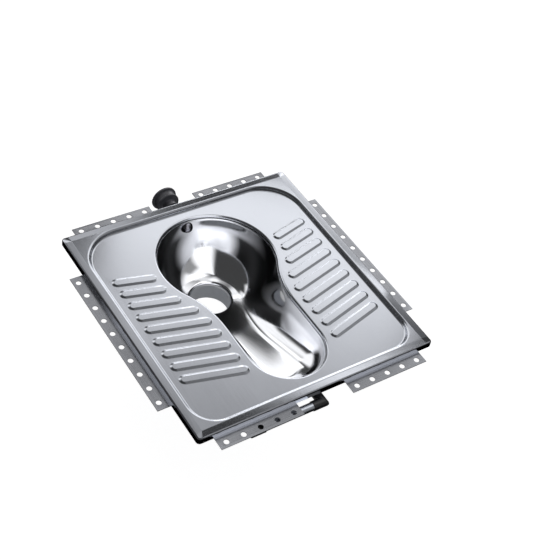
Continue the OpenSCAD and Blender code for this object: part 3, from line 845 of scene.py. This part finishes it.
def moulded_skin():
    """Skin of a moulded piece: fine spark-eroded texture, cloudy gloss and the mould's parting line."""
    group = bpy.data.node_groups.new("moulded_skin", "ShaderNodeTree")
    face = group.interface
    face.new_socket("Position", in_out="INPUT", socket_type="NodeSocketVector")
    for name in ("Roughness", "Cloud", "Parting"):
        face.new_socket(name, in_out="INPUT", socket_type="NodeSocketFloat")
    for name in ("Roughness", "Height", "Shade"):
        face.new_socket(name, in_out="OUTPUT", socket_type="NodeSocketFloat")
    given = group.nodes.new("NodeGroupInput").outputs
    result = group.nodes.new("NodeGroupOutput")

    def noise(scale, detail):
        node = group.nodes.new("ShaderNodeTexNoise")
        node.inputs["Scale"].default_value = scale
        node.inputs["Detail"].default_value = detail
        group.links.new(given["Position"], node.inputs["Vector"])
        return node.outputs["Fac"]

    calc = group_math(group)
    fine = noise(1400, 2)
    cloud = noise(45, 4)
    spread = calc("MULTIPLY_ADD", calc("SUBTRACT", cloud, 0.5), given["Cloud"], given["Roughness"])
    group.links.new(spread, result.inputs["Roughness"])
    place = group.nodes.new("ShaderNodeSeparateXYZ")
    group.links.new(given["Position"], place.inputs[0])
    ridge = group.nodes.new("ShaderNodeMapRange")
    ridge.interpolation_type = "SMOOTHSTEP"
    group.links.new(calc("ABSOLUTE", place.outputs["Z"]), ridge.inputs["Value"])
    ridge.inputs["From Min"].default_value = 0.0006
    ridge.inputs["From Max"].default_value = 0.0001
    height = calc("MULTIPLY_ADD", ridge.outputs["Result"], given["Parting"], fine)
    group.links.new(height, result.inputs["Height"])
    group.links.new(cloud, result.inputs["Shade"])
    return group


skin_group = moulded_skin()


def moulded(name, colour, roughness, cloud, bump, centre, parting):
    """Black rubber or plastic as it leaves the mould, with a little grey dust in its cloudy places."""
    material = bpy.data.materials.new(name)
    tree, add = new_nodes(material)
    where = add("ShaderNodeTexCoord").outputs["Object"]
    shift = add("ShaderNodeMapping", {"Vector": where, "Location": [-c for c in centre]})
    skin = add("ShaderNodeGroup", node_tree=skin_group)
    tree.links.new(shift.outputs["Vector"], skin.inputs["Position"])
    skin.inputs["Roughness"].default_value = roughness
    skin.inputs["Cloud"].default_value = cloud
    skin.inputs["Parting"].default_value = parting
    shade = add("ShaderNodeMapRange", {
        "Value": skin.outputs["Shade"],
        "From Min": 0.3,
        "From Max": 0.7,
        "To Min": 0.8,
        "To Max": 1.3,
    })
    tint = add("ShaderNodeVectorMath", {0: colour, "Scale": shade.outputs["Result"]}, operation="SCALE")
    relief = add("ShaderNodeBump", {"Strength": bump, "Distance": 0.0002, "Height": skin.outputs["Height"]})
    surface = add("ShaderNodeBsdfPrincipled", {
        "Base Color": tint.outputs["Vector"],
        "Roughness": skin.outputs["Roughness"],
        "Normal": relief.outputs["Normal"],
    })
    add("ShaderNodeOutputMaterial", {"Surface": surface.outputs[0]})
    return material


bm = bmesh.new()
seal = [(outlet_radius + fit_gap, 0), (seal_body, 0)]
for lip in range(seal_lips):
    middle = (lip + 0.5) * seal_length / seal_lips
    seal += [(p.x, p.y) for p in arc((seal_body, middle), seal_lip, -90, 90, 10)]
seal += [(seal_body, seal_length), (outlet_radius + fit_gap, seal_length)]
turned(bm, eased(seal, 0.3 * mm, 1), Matrix.Translation((0, drain_y, neck_foot - seal_length)), 128)
seal_rubber = moulded("seal_rubber", (0.022, 0.022, 0.024), 0.55, 0.3, 0.35,
                      (0, drain_y, neck_foot - seal_length / 2), 0.0)
place_piece(bm, "outlet_ring", seal_rubber, ["outlet_seal"])


# ---- Anchor flanges ----
# Six strips of stainless sheet, punched with a row of holes for the anchors or for mortar to key in. Each is
# welded under the skirt's foot with short beads along its inner edge.
flange_sheet = 2 * mm
flange_reach = 30 * mm
flange_edge = 0.35 * mm
hole_radius = 6 * mm
hole_pitch = 40 * mm
hole_offset = 17.5 * mm
flange_end = 18 * mm
bead_length = 9 * mm
bead_radius = 1.3 * mm
side_place = deck_width / 2
end_place = deck_length / 2
front_strip_x = 160 * mm
rear_strip_x = 156 * mm
flange_colour = (0.27, 0.276, 0.295)
flanges = (
    ("left_flange", 10, (-side_place, 0), -90),
    ("right_flange", 10, (side_place, 0), 90),
    ("front_left_flange", 5, (-front_strip_x, -end_place), 0),
    ("front_right_flange", 5, (front_strip_x, -end_place), 0),
    ("rear_left_flange", 5, (-rear_strip_x, end_place), 180),
    ("rear_right_flange", 5, (rear_strip_x, end_place), 180),
)
edge_profile = (
    (flange_edge, 0),
    (0, flange_edge),
    (0, flange_sheet - flange_edge),
    (flange_edge, flange_sheet),
)

for name, holes, place, turn in flanges:
    bm = bmesh.new()
    half = (holes - 1) * hole_pitch / 2 + flange_end
    rims = [[], []]
    loops = []
    for inset, z in edge_profile:
        loops.append([Vector((x, y, z)) for x, y in (
            (-half + inset, -flange_reach + inset), (half - inset, -flange_reach + inset),
            (half - inset, sheet - inset), (-half + inset, sheet - inset))])
    for rim, ring in zip(rims, draw_rings(bm, loops)):
        rim += ring_edges(bm, ring)
    for number in range(holes):
        middle = ((number - (holes - 1) / 2) * hole_pitch, -hole_offset)
        loops = [at_height(arc(middle, hole_radius + inset, 0, 360, 40, 1), z) for inset, z in edge_profile]
        for rim, ring in zip(rims, draw_rings(bm, loops)):
            rim += ring_edges(bm, ring)
    for rim, up in zip(rims, (-1, 1)):
        bmesh.ops.triangle_fill(bm, use_beauty=True, edges=rim, normal=(0, 0, up))
    for number in range(holes - 1):
        middle = Vector(((number - holes / 2 + 1) * hole_pitch, sheet + 0.2 * bead_radius, flange_sheet))
        shape = Matrix.Translation(middle) @ Matrix.Diagonal((bead_length / 2, bead_radius, bead_radius, 1))
        bmesh.ops.create_uvsphere(bm, u_segments=20, v_segments=14, radius=1, matrix=shape)
    stand = Matrix.Translation((place[0], place[1], 0)) @ Matrix.Rotation(math.radians(turn), 4, "Z")
    bmesh.ops.transform(bm, matrix=stand, verts=bm.verts)
    finish = steel(name + "_steel", flange_colour, 0.26, 0.12, 0.12,
                   centre=(place[0], place[1], 0), turn=90 - turn)
    place_piece(bm, name + "_strip", finish, [name], up=(0, 0, 1))


# ---- Flush tubes and nozzles ----
# Drawn stainless tube, cut square and deburred. It carries the water from the tee round the left side to the
# front of the bowl; the two short stubs through the bowl's wall are welded there.
line_z = -18 * mm
tube_radius = 9.5 * mm
tube_bore = 8 * mm
side_x = -170 * mm
rear_line_y = 310 * mm
front_line_y = -315 * mm
rear_joint_y = 273 * mm
front_joint_y = -268 * mm
branch_joint_x = -30.5 * mm
half_gap = fit_gap / 2
nozzle_reach = 7 * mm
socket_floor = 14 * mm
tube_inset = socket_floor + fit_gap
along_x = Matrix.Rotation(math.pi / 2, 4, "Y")
along_y = Matrix.Rotation(-math.pi / 2, 4, "X")
tubes = (
    ("rear_cross_tube", along_x, rear_line_y, side_x + tube_inset, branch_joint_x - half_gap),
    ("side_tube", along_y, side_x, front_line_y + tube_inset, rear_line_y - tube_inset),
    ("front_cross_tube", along_x, front_line_y, side_x + tube_inset, -tube_inset),
    ("front_feed_tube", along_y, 0, front_line_y + tube_inset, front_joint_y - half_gap),
    ("front_nozzle", along_y, 0, front_joint_y + half_gap, front_wall_y + nozzle_reach),
    ("rear_nozzle", along_y, 0, rear_wall_y - nozzle_reach, rear_joint_y - half_gap),
)
for name, lie, aside, start, end in tubes:
    bm = bmesh.new()
    length = end - start
    wall = [(tube_bore, 0), (tube_radius, 0), (tube_radius, length), (tube_bore, length)]
    foot = (start, aside, line_z) if lie is along_x else (aside, start, line_z)
    turned(bm, eased(wall, 0.4 * mm), Matrix.Translation(foot) @ lie, 56)
    turn = 90 if lie is along_x else 0
    finish = steel(name + "_steel", (0.42, 0.44, 0.48), 0.28, 0.12, 0.10, 0.7, centre=foot, turn=turn)
    place_piece(bm, name + "_drawn", finish, [name])


# ---- Nozzle hoods ----
# Small pressed domes of the same steel as the bowl, welded over the two nozzles to turn the water down. They
# are kept as built in the part. Their colour is painted darker than the bowl's, as painted shade for the
# nozzles' dark mouths.
for name, wall_y in (("rear_hood", rear_wall_y), ("front_hood", front_wall_y)):
    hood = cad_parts[name]
    # The dark colour is painted shade, not a tint of the steel.
    finish = steel(name + "_steel", (0.22, 0.22, 0.25), 0.24, 0.10, 0.08, 0.5, centre=(0, wall_y, line_z))
    hood.data.materials.clear()
    hood.data.materials.append(finish)


# ---- Coupling nuts ----
# Moulded hexagon nuts in black plastic that draw two tube ends together. Their corners are turned off at
# both ends, and the hexagon's edges are slightly round.
nut_flats = 25 * mm
nut_length = 17 * mm
nut_corner = 0.8 * mm
nut_bore = tube_radius + fit_gap
nut_edge = 0.5 * mm
nut_chamfer = nut_flats / 2 * (1 / math.cos(math.pi / 6) - 1)
nuts = (
    ("rear_nut", (0, rear_joint_y - nut_length / 2, line_z), along_y),
    ("front_nut", (0, front_joint_y - nut_length / 2, line_z), along_y),
    ("branch_nut", (branch_joint_x - nut_length / 2, rear_line_y, line_z), along_x),
)


def hexagon(limit, z):
    """Loop round a hexagon with rounded corners, cut off at a radius."""
    reach = (nut_flats / 2 - nut_corner) / math.cos(math.pi / 6)
    points = []
    for corner in range(6):
        a = 60 * corner
        centre, next_centre = arc((0, 0), reach, a, a + 60, 1)
        points += arc(centre, nut_corner, a - 30, a + 30, 8)
        flat_start = points[-1]
        flat_end = arc(next_centre, nut_corner, a + 30, a + 31, 1)[0]
        points += [flat_start.lerp(flat_end, k / 6) for k in range(1, 6)]
    return at_height([p if p.length < limit else limit * p.normalized() for p in points], z)


def close_rings(bm, first, last):
    """Faces from the last loop of vertices back to the first, so that the skin is closed."""
    for i in range(len(first)):
        bm.faces.new((last[i - 1], last[i], first[i], first[i - 1]))


def circle_like(pattern, radius, z):
    """Circle at a height with its points at the angles of another loop."""
    return [Vector((radius * p.x, radius * p.y, z)) for p in pattern]


for name, start, lie in nuts:
    bm = bmesh.new()
    pattern = [Vector((p.x, p.y)).normalized() for p in hexagon(1, 0)]
    bore = ((nut_bore + nut_edge, 0), (nut_bore, nut_edge), (nut_bore, nut_length - nut_edge),
            (nut_bore + nut_edge, nut_length))
    loops = [circle_like(pattern, radius, z) for radius, z in bore]
    cuts = [(nut_flats / 2 + k / 4 * nut_chamfer, k / 4 * nut_chamfer) for k in range(5)]
    loops += [hexagon(limit, nut_length - drop) for limit, drop in cuts]
    loops += [hexagon(limit, drop) for limit, drop in reversed(cuts)]
    first, last = draw_rings(bm, loops)
    close_rings(bm, first, last)
    bmesh.ops.transform(bm, matrix=Matrix.Translation(start) @ lie, verts=bm.verts)
    finish = moulded(name + "_plastic", (0.024, 0.024, 0.027), 0.36, 0.25, 0.20, start, 3.0)
    place_piece(bm, name + "_moulded", finish, [name])


# ---- Elbows ----
# Mitred elbows moulded in black plastic, with a socket in each leg that holds a tube end. The corner is
# slightly rounded and the mould's parting line runs round both legs.
elbow_radius = 11 * mm
elbow_leg = 26 * mm
socket_radius = tube_radius + fit_gap
elbow_edge = 0.6 * mm
mitre_round = 3 * mm
elbow_steps = 56
elbows = (
    ("rear_elbow", (side_x, rear_line_y, line_z), -90),
    ("corner_elbow", (side_x, front_line_y, line_z), 0),
    ("front_elbow", (0, front_line_y, line_z), 90),
)


def leg_ring(radius, distance):
    """Circle round the leg along +X at a distance from the corner."""
    return [Vector((distance, p.x, p.y)) for p in arc((0, 0), radius, 0, 360, elbow_steps, 1)]


def mitre_rings(radius, reach):
    """Loops round the rounded mitre, from the leg along +X to the leg along +Y."""
    rings = []
    for k in range(6):
        share = k / 5
        ring = []
        for p in arc((0, 0), radius, 0, 360, elbow_steps, 1):
            start = Vector((p.x + reach, p.x, p.y))
            middle = Vector((p.x, p.x, p.y))
            end = Vector((p.x, p.x + reach, p.y))
            ring.append((1 - share) ** 2 * start + 2 * share * (1 - share) * middle + share ** 2 * end)
        rings.append(ring)
    return rings


for name, corner, turn in elbows:
    bm = bmesh.new()
    shell = ((elbow_radius - elbow_edge, elbow_leg), (elbow_radius, elbow_leg - elbow_edge))
    socket = ((socket_radius + elbow_edge / 2, elbow_leg), (socket_radius, elbow_leg - elbow_edge),
              (socket_radius, socket_floor), (tube_bore, socket_floor))
    outside = [leg_ring(radius, distance) for radius, distance in shell]
    inside = [leg_ring(radius, distance) for radius, distance in socket]
    loops = outside + mitre_rings(elbow_radius, mitre_round)
    loops += [[Vector((p.y, p.x, p.z)) for p in ring] for ring in reversed(outside)]
    loops += [[Vector((p.y, p.x, p.z)) for p in ring] for ring in inside]
    loops += [[Vector((p.y, p.x, p.z)) for p in ring] for ring in mitre_rings(tube_bore, 0.5 * mm)]
    loops += reversed(inside)
    first, last = draw_rings(bm, loops)
    close_rings(bm, first, last)
    place = Matrix.Translation(corner) @ Matrix.Rotation(math.radians(turn), 4, "Z")
    bmesh.ops.transform(bm, matrix=place, verts=bm.verts)
    finish = moulded(name + "_plastic", (0.022, 0.022, 0.025), 0.34, 0.25, 0.20, corner, 3.0)
    place_piece(bm, name + "_moulded", finish, [name])


# ---- Inlet tee ----
# Black plastic tee that splits the water between the rear nozzle and the side line. Its tail takes the
# cuff's small end; the branch leaves to the left, into the branch nut.
tee_spout_y = rear_joint_y + half_gap
tee_front_y = 296 * mm
tee_rear_y = 324 * mm
tee_end_y = 344 * mm
tee_radius = 14 * mm
tail_radius = 12 * mm
branch_root = 9.5 * mm
branch_end = -branch_joint_x - half_gap

bm = bmesh.new()
tee = [(tube_bore, tee_spout_y), (tube_radius, tee_spout_y), (tube_radius, tee_front_y),
       (tee_radius, tee_front_y), (tee_radius, tee_rear_y), (tail_radius, tee_rear_y),
       (tail_radius, tee_end_y), (tube_bore, tee_end_y)]
turned(bm, eased(tee, 1.2 * mm, 4), Matrix.Translation((0, 0, line_z)) @ along_y, 72)
branch = [(tube_bore, branch_root), (tube_radius, branch_root),
          (tube_radius, branch_end), (tube_bore, branch_end)]
turned(bm, eased(branch, 0.4 * mm), Matrix.Translation((0, rear_line_y, line_z)) @ along_x.inverted(), 56)
tee_plastic = moulded("tee_plastic", (0.022, 0.022, 0.025), 0.34, 0.25, 0.20, (0, rear_line_y, line_z), 3.0)
place_piece(bm, "tee_moulded", tee_plastic, ["inlet_tee"])


# ---- Inlet cuff ----
# Stepped rubber cuff for the flush pipe: its small end grips the tee's tail, a bead marks the shoulder, and
# a thick ring holds the mouth round.
cuff_foot = tee_rear_y + fit_gap
# Radius and distance from its foot, in millimetres
cuff = [(12.3, 0), (16.3, 0), (16.3, 14), (28, 17), (28, 21), (26.5, 22.5), (26.5, 35), (30.5, 36),
        (31.5, 37), (31.5, 41), (30.5, 42), (23, 42), (23, 22), (12.3, 22)]

bm = bmesh.new()
profile = [(r * mm, z * mm) for r, z in cuff]
turned(bm, eased(profile, 1.2 * mm, 4), Matrix.Translation((0, cuff_foot, line_z)) @ along_y, 96)
cuff_rubber = moulded("cuff_rubber", (0.14, 0.14, 0.16), 0.38, 0.25, 0.25, (0, cuff_foot, line_z), 2.0)
place_piece(bm, "cuff_moulded", cuff_rubber, ["inlet_cuff"])
